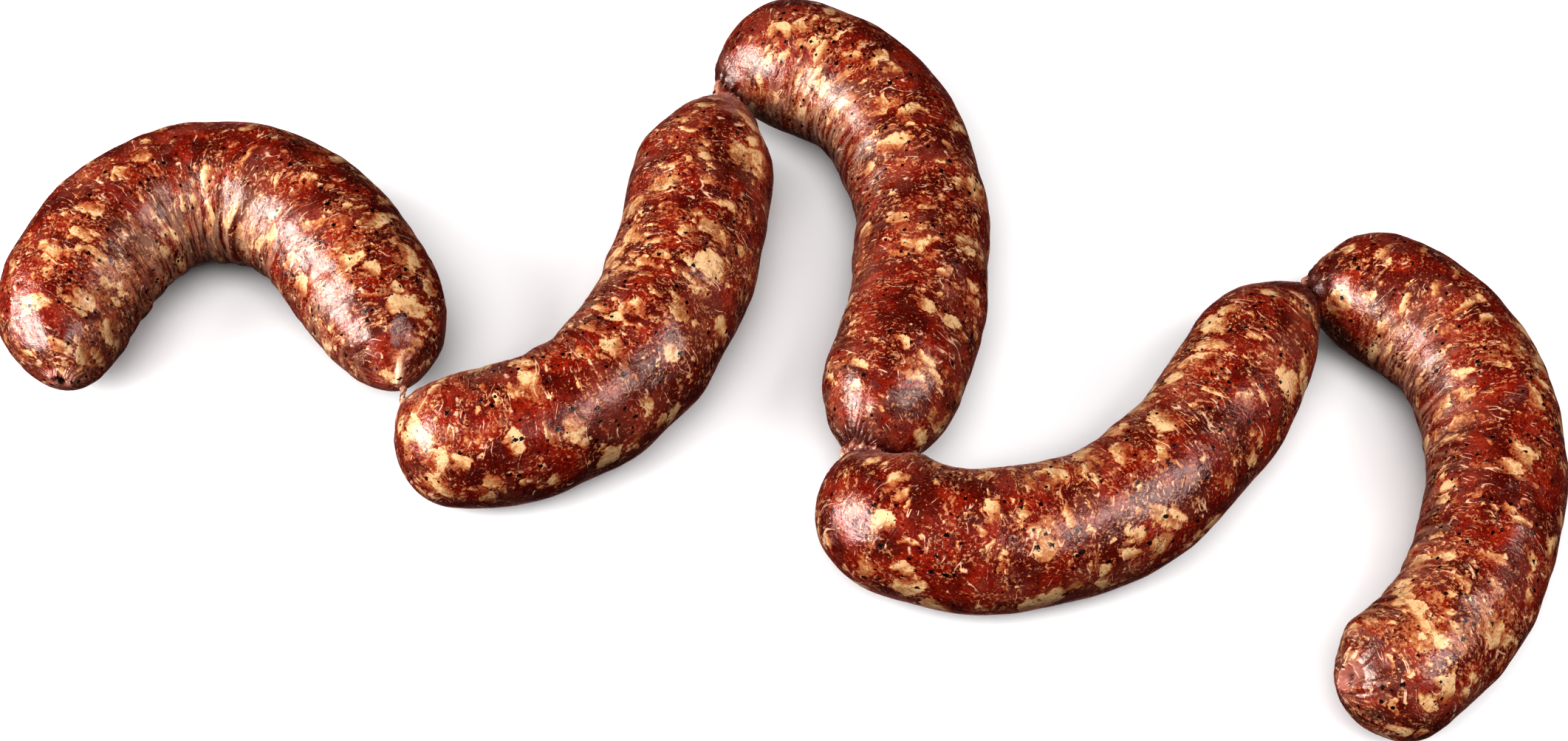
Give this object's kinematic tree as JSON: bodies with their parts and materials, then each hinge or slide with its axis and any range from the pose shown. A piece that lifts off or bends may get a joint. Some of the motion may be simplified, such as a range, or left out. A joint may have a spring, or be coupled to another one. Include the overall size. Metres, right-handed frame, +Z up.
{
  "type": "string of sausage links",
  "caption": "String of fat coarse-ground raw sausage links in natural casing, bent in loose curves and joined end to end by twists of the casing.",
  "frame": {"origin": "on the table, under the middle of the string's bounding box", "axes": "+X along the string from its first link to its last, +Y away from the viewer across the links' bends, +Z up from the table"},
  "size_m": [0.3752, 0.2108, 0.0357],
  "materials": {
    "sausage": "moist glossy natural casing over coarse red meat with cream and tan pieces of fat and black pepper specks"
  },
  "bodies": {
    "root": {"sausage_string": "sausage"}
  },
  "joints": []
}
